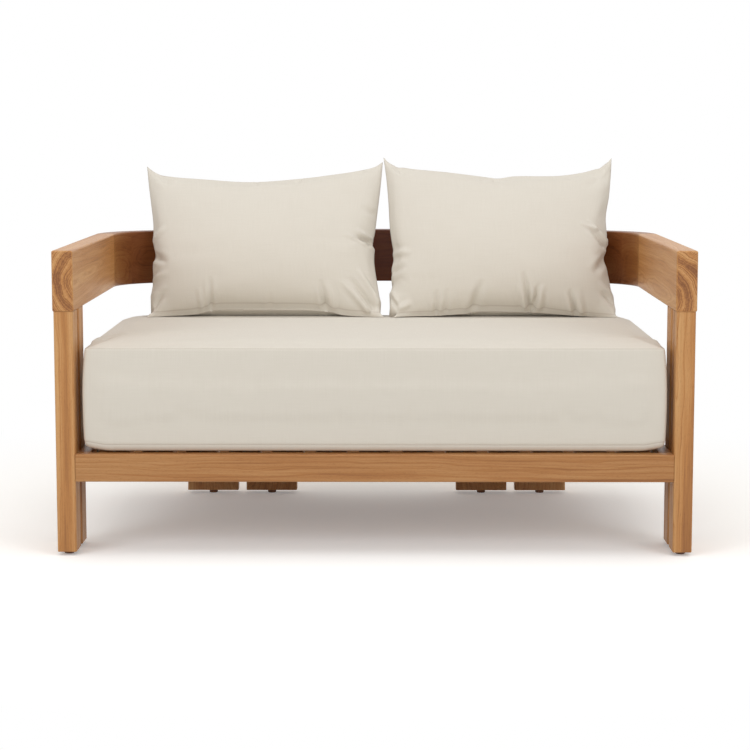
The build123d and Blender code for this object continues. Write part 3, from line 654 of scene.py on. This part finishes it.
def box_cloth_map(piece):
    """A UV map in metres that lays the weave square to each panel."""
    mesh = piece.data
    layer = mesh.uv_layers.new(name="cloth")
    for polygon in mesh.polygons:
        normal = polygon.normal
        axis = max(range(3), key=lambda a: abs(normal[a]))
        first, second = [a for a in range(3) if a != axis]
        for loop in polygon.loop_indices:
            co = mesh.vertices[mesh.loops[loop].vertex_index].co
            layer.data[loop].uv = (co[first], co[second])


# Soft creases in the bench's top panel, in millimetres from the panel's middle: start, end, half width, depth
BENCH_CREASES = (
    ((-604, -222), (-654, -400), 20, 5.0),
    ((-604, -222), (-330, -176), 22, 4.5),
    ((614, -262), (656, -396), 20, 4.5),
    ((614, -262), (400, -246), 22, 4.0),
)


def ease(share):
    """A smooth step from 0 to 1."""
    share = min(1.0, max(0.0, share))
    return share * share * (3 - 2 * share)


def pillow_dent(place, pillow_boxes, bench):
    """How far the top panel sinks at a place under the pillows' feet, as a share of the dent."""
    deepest = 0.0
    for low, high in pillow_boxes:
        beside = max(low.x - place.x, place.x - high.x)
        before = low.y - place.y
        deepest = max(deepest, ease(1 - beside / bench.dent_side) * ease(1 - before / bench.dent_run))
    return deepest


class LOVESEAT_OT_bench_cushion(bpy.types.Operator):
    """Make the bench cushion: a boxed cover with felled seams, swollen over its foam"""

    bl_idname = "loveseat.bench_cushion"
    bl_label = "Make the bench cushion"

    def execute(self, context):
        bench = context.scene.loveseat_bench
        low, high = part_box("seat_cushion_cover")
        steep, seam_waves, ripple_waves = 0.5, 14, 5
        seam_top = high.z - bench.crown
        bm, seams = bench_grid(low, high, seam_top, bench)
        for vert in bm.verts:
            vert.co = bench_form(vert.co.copy(), low, high, seam_top, bench)
        mesh = bpy.data.meshes.new("bench_cushion")
        bm.to_mesh(mesh)
        bm.free()
        piece = new_piece("bench_cushion", mesh, woven_canvas("woven_acrylic_canvas_bench"))
        smooth_shading(piece)
        start = [(vert.co.copy(), vert.normal.copy()) for vert in mesh.vertices]
        # Only the outward part of the swelling is kept, so the cushion fills its width
        for vert, (was, out), now in zip(mesh.vertices, start, swell(piece, bench)):
            move = min(bench.swell_cap, max(0.0, (now - was).dot(out)))
            vert.co = was if out.z <= -steep else was + out * move
        mark_seam(mesh, {index: 1.0 for index in seams})
        for index in seams:
            was, out = start[index]
            wander = noise.noise(was * seam_waves) * bench.seam_wander
            mesh.vertices[index].co -= out * bench.seam_depth
            mesh.vertices[index].co.z += wander
        subdivide_once(piece)
        mesh = piece.data
        middle = (low + high) / 2
        flat = [(vert.index, Vector((vert.co.x - middle.x, vert.co.y - middle.y)))
                for vert in mesh.vertices if vert.normal.z > steep]
        moves = [0.0] * len(mesh.vertices)
        for begin, finish, half_width, depth in BENCH_CREASES:
            press_crease(flat, moves, Vector(begin) * MM, Vector(finish) * MM, half_width * MM, depth * MM)
        outward = [vert.normal.copy() for vert in mesh.vertices]
        pillow_boxes = [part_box("pillow_left_cover"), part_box("pillow_right_cover")]
        sunk = high.z - bench.dent
        for vert, out, move in zip(mesh.vertices, outward, moves):
            ripple = noise.noise(vert.co * ripple_waves) * bench.ripple
            vert.co += out * (move + (0.0 if out.z <= -steep else ripple))
            if out.z > steep:
                vert.co.z += (min(vert.co.z, sunk) - vert.co.z) * pillow_dent(vert.co, pillow_boxes, bench)
        box_cloth_map(piece)
        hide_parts("seat_cushion_cover", "seat_cushion_core")
        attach(piece, "seat_cushion")
        return {"FINISHED"}


# The pillows' seams, worked out from the photograph in each pillow's own plane: millimetres across from its
# middle and up from its foot. The corners stand up as ears, and the sides pull in where they pucker
PILLOW_SEAMS = {
    "left": {
        "top": ((-307, 412), (-291, 398), (-264, 385), (-155, 375), (-36, 368), (92, 377), (199, 391),
                (258, 401), (289, 410), (309, 424)),
        "foot": ((-296, 0), (-239, 1), (-167, 6), (-119, 17), (116, 17), (177, 12), (205, 4), (257, 0),
                 (317, 0)),
        "left": ((-296, 0), (-280, 17), (-287, 55), (-283, 98), (-285, 141), (-279, 162), (-286, 200),
                 (-287, 249), (-295, 313), (-301, 357), (-307, 412)),
        "right": ((317, 0), (302, 14), (305, 39), (298, 77), (289, 145), (289, 187), (284, 200), (289,
                  217), (295, 270), (304, 357), (309, 424)),
    },
    "right": {
        "top": ((-301, 438), (-286, 421), (-262, 409), (-127, 394), (-36, 382), (-4, 378), (38, 384),
                (153, 385), (223, 395), (262, 407), (280, 419), (294, 436)),
        "foot": ((-281, 0), (-264, 1), (-170, 3), (-85, 9), (-53, 15), (92, 12), (173, 5), (253, 0), (308,
                 0)),
        "left": ((-281, 0), (-266, 12), (-283, 31), (-286, 56), (-277, 90), (-282, 111), (-277, 163),
                 (-285, 236), (-289, 314), (-294, 379), (-301, 438)),
        "right": ((308, 0), (291, 8), (293, 31), (287, 56), (280, 99), (271, 161), (278, 201), (276, 270),
                  (285, 327), (291, 388), (294, 436)),
    },
}

# Creases in the pillows' fronts, in the same plane: start at the seam, end, half width, depth
PILLOW_CREASES = {
    "left": (
        ((284, 198), (236, 222), 6, -2.4), ((286, 192), (232, 200), 7, 3.2),
        ((262, 186), (206, 206), 5, -1.4),
        ((296, 38), (243, 116), 7, -4.2), ((284, 20), (222, 95), 7, 4.4), ((268, 14), (200, 84), 7, -2.8),
        ((-281, 163), (-240, 130), 8, 3.6), ((-286, 202), (-246, 230), 8, -1.8),
        ((-284, 96), (-236, 108), 8, -2.4),
        ((-280, 18), (-250, 52), 6, 3.6), ((-284, 50), (-240, 74), 8, -2.0),
        ((-128, 18), (-130, 92), 6, 2.4),
        ((-152, 14), (-158, 66), 6, -1.4), ((163, 16), (150, 84), 7, 3.4), ((186, 12), (172, 72), 7, -1.8),
        ((-262, 378), (-240, 346), 9, 2.8), ((256, 394), (242, 366), 9, 1.8),
        ((-18, 362), (-24, 342), 6, 1.3),
        ((92, 371), (84, 348), 6, 1.3), ((292, 268), (252, 286), 9, 1.6), ((20, 18), (24, 52), 8, 1.0),
    ),
    "right": (
        ((74, 14), (54, 102), 6, 4.4), ((62, 14), (40, 72), 6, -2.2), ((78, 14), (92, 70), 5, 3.8),
        ((96, 14), (104, 72), 7, -2.6), ((190, 6), (170, 62), 6, 3.8), ((206, 6), (192, 64), 7, -2.0),
        ((-166, 6), (-164, 60), 6, 2.2), ((-141, 6), (-138, 62), 6, 1.6), ((-74, 12), (-48, 82), 10, 3.2),
        ((272, 196), (218, 250), 6, -3.4), ((262, 184), (224, 226), 7, 2.2),
        ((240, 222), (200, 238), 5, -1.6),
        ((272, 160), (234, 102), 9, 3.8), ((290, 32), (252, 62), 8, 2.8), ((286, 56), (244, 84), 8, -2.0),
        ((-280, 168), (-226, 158), 8, -2.2), ((-281, 114), (-240, 128), 8, 2.4),
        ((-284, 52), (-262, 14), 6, 4.2),
        ((-266, 16), (-226, 34), 7, -2.4), ((-8, 372), (-14, 350), 6, 1.5),
        ((-36, 376), (-46, 352), 6, 1.2),
        ((-262, 402), (-240, 378), 9, 2.8), ((262, 400), (240, 374), 9, 2.8),
        ((284, 392), (216, 330), 14, 1.8),
    ),
}


def along_seam(points, share):
    """The point at a share of a seam's length, on a smooth curve through its points."""
    points = [Vector(point) for point in points]
    lengths = [(b - a).length for a, b in zip(points, points[1:])]
    left = share * sum(lengths)
    for n, run in enumerate(lengths):
        if left <= run or n == len(lengths) - 1:
            break
        left -= run
    k = min(1.0, left / run)
    before = points[n - 1] if n else 2 * points[0] - points[1]
    after = points[n + 2] if n + 2 < len(points) else 2 * points[-1] - points[-2]
    a, b = points[n], points[n + 1]
    lean_in = (b - before) * (run / ((a - before).length + run))
    lean_out = (after - a) * (run / (run + (after - b).length))
    k2, k3 = k * k, k * k * k
    return (a * (2 * k3 - 3 * k2 + 1) + lean_in * (k3 - 2 * k2 + k)
            + b * (3 * k2 - 2 * k3) + lean_out * (k3 - k2))


def pillow_form(seams, columns, rows, pillow):
    """Places on the pillow's mid-plane and its half thickness, for every crossing of the grid, in metres."""
    tops = [along_seam(seams["top"], i / columns) for i in range(columns + 1)]
    feet = [along_seam(seams["foot"], i / columns) for i in range(columns + 1)]
    lefts = [along_seam(seams["left"], j / rows) for j in range(rows + 1)]
    rights = [along_seam(seams["right"], j / rows) for j in range(rows + 1)]
    side_flat, side_round, end_round = 2.3, 0.55, 0.64
    places = {}
    for i in range(columns + 1):
        for j in range(rows + 1):
            p, q = i / columns, j / rows
            sides = lefts[j] * (1 - p) + rights[j] * p
            ends = feet[i] * (1 - q) + tops[i] * q
            corners = (feet[0] * (1 - p) + feet[-1] * p) * (1 - q) + (tops[0] * (1 - p) + tops[-1] * p) * q
            # The foot has a flat hem, and above it the filling starts
            filled = max(0.0, (q - pillow.hem) / (1 - pillow.hem))
            across, up = 2 * p - 1, 2 * filled - 1
            swelled = (1 - abs(across) ** side_flat) ** side_round * (1 - up * up) ** end_round
            swelled *= 1 - pillow.belly * up
            lip = pillow.seam_lip if 0 < i < columns and 0 < j < rows else 0.0
            places[i, j] = (sides + ends - corners) * MM, max(lip, swelled * pillow.thick / 2)
    return places


def pillow_mesh(seams, pillow):
    """Two panels sewn together all round, filled, standing in the plane of X and Z."""
    columns = round((seams["foot"][-1][0] - seams["foot"][0][0]) * MM / pillow.cell)
    rows = round(seams["left"][-1][1] * MM / pillow.cell)
    places = pillow_form(seams, columns, rows, pillow)
    bm = bmesh.new()
    layer = bm.loops.layers.uv.new("cloth")
    found = {}

    def corner(i, j, front):
        edge = i in (0, columns) or j in (0, rows)
        key = (i, j, True if edge else front)
        if key not in found:
            place, half = places[i, j]
            found[key] = bm.verts.new((place.x, 0 if edge else (-half if front else half), place.y))
        return found[key]

    for front in (True, False):
        for i in range(columns):
            for j in range(rows):
                spots = [(i, j), (i + 1, j), (i + 1, j + 1), (i, j + 1)]
                if not front:
                    spots.reverse()
                face = bm.faces.new([corner(a, b, front) for a, b in spots])
                for loop, (a, b) in zip(face.loops, spots):
                    loop[layer].uv = (a * pillow.cell, b * pillow.cell)
    bm.verts.index_update()
    hem_row = round(pillow.hem * rows) + 1
    # Strengths of the painted seam shade: the seams all round, and the hem line a little fainter
    seam_mark, hem_mark = 1.0, 0.8
    seam_shade = {}
    for (i, j, front), vert in found.items():
        if j == hem_row and front:
            seam_shade[vert.index] = hem_mark
        elif i in (0, columns) or j in (0, rows):
            seam_shade[vert.index] = seam_mark
    mesh = bpy.data.meshes.new("pillow")
    bm.to_mesh(mesh)
    bm.free()
    mark_seam(mesh, seam_shade)
    return mesh


def foot_height(seams, across):
    """How high the foot seam stands at a place across the pillow, in metres."""
    points = seams["foot"]
    for (x0, y0), (x1, y1) in zip(points, points[1:]):
        if across <= x1 * MM:
            share = max(0.0, (across / MM - x0) / (x1 - x0))
            return (y0 + (y1 - y0) * share) * MM
    return 0.0


def sag(flat_place, seams, pillow):
    """How much of the filling's height behind the hem is lost, so that the pillow rests on the bench."""
    above = flat_place.z - foot_height(seams, flat_place.x)
    if flat_place.y <= 0 or above <= 0 or above > pillow.sag_run:
        return 0.0
    fading = max(0.0, (above - pillow.sag_start) / (pillow.sag_run - pillow.sag_start))
    return min(1.0, above / pillow.sag_start) * (1 - fading * fading)


class LOVESEAT_OT_pillows(bpy.types.Operator):
    """Make the two lumbar pillows: two panels sewn all round, with eared corners, creases and a hem"""

    bl_idname = "loveseat.pillows"
    bl_label = "Make the pillows"

    def execute(self, context):
        pillow = context.scene.loveseat_pillow
        canvas = woven_canvas("woven_acrylic_canvas_pillow")
        dent = context.scene.loveseat_bench.dent
        lump_waves, ripple_waves, at_seam = 9, 26, 0.3
        for hand, seams in PILLOW_SEAMS.items():
            cover = f"pillow_{hand}_cover"
            low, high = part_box(cover)
            piece = new_piece(f"pillow_{hand}", pillow_mesh(seams, pillow), canvas)
            smooth_shading(piece)
            start = [vert.co.copy() for vert in piece.data.vertices]
            for vert, was, now in zip(piece.data.vertices, start, swell(piece, pillow)):
                move = now - was
                firm = min(1.0, abs(was.y) / pillow.seam_hold)
                vert.co = was + move * firm * min(1.0, pillow.swell_cap / max(move.length, MM))
            subdivide_once(piece)
            mesh = piece.data
            flat = [(vert.index, Vector((vert.co.x, vert.co.z))) for vert in mesh.vertices if vert.co.y < 0]
            moves = [0.0] * len(mesh.vertices)
            for begin, finish, half_width, depth in PILLOW_CREASES[hand]:
                press_crease(flat, moves, Vector(begin) * MM, Vector(finish) * MM, half_width * MM,
                             depth * pillow.crease * MM)
            outward = [vert.normal.copy() for vert in mesh.vertices]
            foot = Vector(((low.x + high.x) / 2, low.y + pillow.foot_behind, low.z - dent))
            lean = Matrix.Rotation(-pillow.lean, 3, "X")
            for vert, out, move in zip(mesh.vertices, outward, moves):
                uneven = noise.noise(vert.co * lump_waves + foot) * pillow.lump
                uneven += noise.noise(vert.co * ripple_waves + foot) * pillow.ripple
                firm = min(1.0, abs(vert.co.y) / pillow.seam_hold)
                flat_place = vert.co + out * (move * max(firm, at_seam) + uneven * firm)
                ear = min((Vector(seams["foot"][end]) * MM for end in (0, -1)),
                          key=lambda tip: abs(tip.x - flat_place.x))
                far = (Vector((flat_place.x, flat_place.z)) - ear).length / pillow.ear_reach
                forward = pillow.ear_forward * max(0.0, 1 - far) ** 1.5
                vert.co = foot + lean @ flat_place - Vector((0, forward, 0))
                resting = foot.z + pillow.rest_gap
                sagged = sag(flat_place, seams, pillow)
                vert.co.z = max(resting, vert.co.z * (1 - sagged) + resting * sagged)
            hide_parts(cover, f"pillow_{hand}_fill")
            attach(piece, f"pillow_{hand}")
        return {"FINISHED"}


class LOVESEAT_OT_zip(bpy.types.Operator):
    """Finish the zip across the bench cushion's back"""

    bl_idname = "loveseat.zip"
    bl_label = "Finish the zip"

    def execute(self, context):
        # Polyester zip tape: a fine close weave, a shade darker than the canvas, with its ribs drawn
        # coarser than the real 0.5 mm to show
        tape, tree = new_material("woven_polyester_tape")
        coordinates = add(tree, "ShaderNodeTexCoord")
        ribs = add(tree, "ShaderNodeTexWave", {"Vector": coordinates.outputs["Object"], "Scale": 0.3 / MM},
                   bands_direction="X")
        tint = add(tree, "ShaderNodeMix", {"Factor": ribs.outputs["Fac"], 6: linear("B9B0A0"),
                                           7: linear("CFC7B8")}, data_type="RGBA")
        surface = add(tree, "ShaderNodeBsdfPrincipled", {"Base Color": tint.outputs[2], "Roughness": 0.8})
        add(tree, "ShaderNodeOutputMaterial", {"Surface": surface.outputs["BSDF"]})
        dress("seat_zip", tape)
        # Nickel-plated zinc: bright, with its roughness a little uneven
        nickel, tree = new_material("nickel_plated_zinc")
        coordinates = add(tree, "ShaderNodeTexCoord")
        wear = add(tree, "ShaderNodeTexNoise", {"Vector": coordinates.outputs["Object"],
                                                "Scale": 1 / (1.2 * MM)})
        rough = add(tree, "ShaderNodeMapRange", {"Value": wear.outputs["Fac"], "To Min": 0.2, "To Max": 0.45})
        surface = add(tree, "ShaderNodeBsdfPrincipled", {"Base Color": linear("C7C4BD"), "Metallic": 1.0,
                                                         "Roughness": rough.outputs["Result"]})
        add(tree, "ShaderNodeOutputMaterial", {"Surface": surface.outputs["BSDF"]})
        dress("seat_zip_slider", nickel)
        return {"FINISHED"}


def shows_background(tree):
    """1 for the rays of the camera, and for those off metal and through glass, and 0 for all others."""
    ray = add(tree, "ShaderNodeLightPath")
    seen = ray.outputs["Is Camera Ray"]
    for kind in ("Is Glossy Ray", "Is Transmission Ray"):
        seen = add(tree, "ShaderNodeMath", {0: seen, 1: ray.outputs[kind]}, operation="MAXIMUM").outputs[0]
    return seen


class LOVESEAT_OT_stage(bpy.types.Operator):
    """Make the white floor, the soft lights and the camera"""

    bl_idname = "loveseat.stage"
    bl_label = "Make the stage"

    def execute(self, context):
        scene = context.scene
        scene.view_settings.view_transform = "Standard"

        # Camera, as worked out from the photograph's edges
        place = (0.0308, -5.0043, 0.9600)
        tilt, roll, turn = pi / 2 - 0.1213401, 0.000121, 0.0064764
        data = bpy.data.cameras.new("camera")
        data.sensor_width = 36
        data.lens = 99.21
        camera = bpy.data.objects.new("camera", data)
        camera.location = place
        camera.rotation_euler = (tilt, roll, turn)
        scene.collection.objects.link(camera)
        scene.camera = camera

        # Painted white floor, which shows the object's soft shadow and turns into plain white around it
        floor_size, shadow_reach, white_from, least_white = 40, 0.9, 1.8, 0.22
        seen_paint = [1.26, 1.27, 1.27, 1]
        bpy.ops.object.select_all(action="DESELECT")
        bpy.ops.mesh.primitive_plane_add(size=floor_size, location=(0, 0, 0))
        floor = context.object
        floor.name = "floor"
        paint, tree = new_material("matt_white_floor")
        seen = shows_background(tree)
        tint = add(tree, "ShaderNodeMix", {"Factor": seen, 6: linear("DADAD8"), 7: seen_paint},
                   data_type="RGBA")
        matt = add(tree, "ShaderNodeBsdfDiffuse", {"Color": tint.outputs[2]})
        white = add(tree, "ShaderNodeEmission", {"Color": (1, 1, 1, 1), "Strength": 1.0})
        coordinates = add(tree, "ShaderNodeTexCoord")
        away = add(tree, "ShaderNodeVectorMath", {0: coordinates.outputs["Object"]}, operation="LENGTH")
        far = add(tree, "ShaderNodeMapRange",
                  {"Value": away.outputs["Value"], "From Min": shadow_reach, "From Max": white_from,
                   "To Min": least_white}, interpolation_type="SMOOTHSTEP")
        plain = add(tree, "ShaderNodeMath", {0: far.outputs["Result"], 1: seen}, operation="MULTIPLY")
        both = add(tree, "ShaderNodeMixShader", {0: plain.outputs[0], 1: matt.outputs["BSDF"],
                                                2: white.outputs["Emission"]})
        add(tree, "ShaderNodeOutputMaterial", {"Surface": both.outputs["Shader"]})
        floor.data.materials.append(paint)

        # World: an even room that lights warmly and softly, and is seen as white
        light_strength, seen_strength = 0.62, 1.0
        world = bpy.data.worlds.new("pale_room")
        world.use_nodes = True
        tree = world.node_tree
        tree.nodes.clear()
        seen = shows_background(tree)
        strength = add(tree, "ShaderNodeMapRange", {"Value": seen, "To Min": light_strength,
                                                    "To Max": seen_strength})
        tint = add(tree, "ShaderNodeMix", {"Factor": seen, 6: (1.0, 0.95, 0.88, 1), 7: (1, 1, 1, 1)},
                   data_type="RGBA")
        sky = add(tree, "ShaderNodeBackground", {"Color": tint.outputs[2],
                                                 "Strength": strength.outputs["Result"]})
        add(tree, "ShaderNodeOutputWorld", {"Surface": sky.outputs["Background"]})
        scene.world = world

        # Soft boxes, a little cooler than the room: a wide one overhead and one from each side in front.
        # For each: its name, place, aim, width and power
        cool_white = (0.97, 1.0, 1.05)
        for name, place, aim, wide, power in (
            ("overhead", (0.0, -0.5, 3.2), (0, 0, 0.3), 2.6, 26),
            ("front_left", (-2.6, -3.4, 2.0), (0, 0, 0.4), 1.8, 37),
            ("front_right", (2.6, -3.4, 2.0), (0, 0, 0.4), 1.8, 35),
        ):
            light = bpy.data.lights.new(name, "AREA")
            light.size = wide
            light.energy = power
            light.color = cool_white
            lamp = bpy.data.objects.new(name, light)
            lamp.location = place
            lamp.rotation_euler = (Vector(place) - Vector(aim)).to_track_quat("Z", "Y").to_euler()
            scene.collection.objects.link(lamp)
        return {"FINISHED"}


class LOVESEAT_PT_panel(bpy.types.Panel):
    """The loveseat's pieces and the stage"""

    bl_idname = "LOVESEAT_PT_panel"
    bl_label = "Loveseat"
    bl_space_type = "VIEW_3D"
    bl_region_type = "UI"
    bl_category = "Loveseat"

    def draw(self, context):
        for operator in OPERATORS:
            self.layout.operator(operator.bl_idname)
        for group in GROUPS:
            settings = getattr(context.scene, group)
            for name in settings.bl_rna.properties.keys():
                if name not in ("rna_type", "name"):
                    self.layout.prop(settings, name)


OPERATORS = (
    LOVESEAT_OT_stage,
    LOVESEAT_OT_teak,
    LOVESEAT_OT_hardware,
    LOVESEAT_OT_bench_cushion,
    LOVESEAT_OT_pillows,
    LOVESEAT_OT_zip,
)
GROUPS = {
    "loveseat_teak": LoveseatTeak,
    "loveseat_canvas": LoveseatCanvas,
    "loveseat_bench": LoveseatBench,
    "loveseat_pillow": LoveseatPillow,
}


def register():
    """Register the settings, the operators and the panel."""
    for group in GROUPS.values():
        bpy.utils.register_class(group)
    for name, group in GROUPS.items():
        setattr(bpy.types.Scene, name, bpy.props.PointerProperty(type=group))
    for operator in OPERATORS:
        bpy.utils.register_class(operator)
    bpy.utils.register_class(LOVESEAT_PT_panel)


def unregister():
    """Take everything back that register added."""
    bpy.utils.unregister_class(LOVESEAT_PT_panel)
    for operator in reversed(OPERATORS):
        bpy.utils.unregister_class(operator)
    for name, group in GROUPS.items():
        delattr(bpy.types.Scene, name)
        bpy.utils.unregister_class(group)


def main():
    """Build the scene in order."""
    register()
    bpy.ops.loveseat.stage()
    bpy.ops.loveseat.teak()
    bpy.ops.loveseat.hardware()
    bpy.ops.loveseat.bench_cushion()
    bpy.ops.loveseat.pillows()
    bpy.ops.loveseat.zip()


if __name__ == "__main__":
    main()
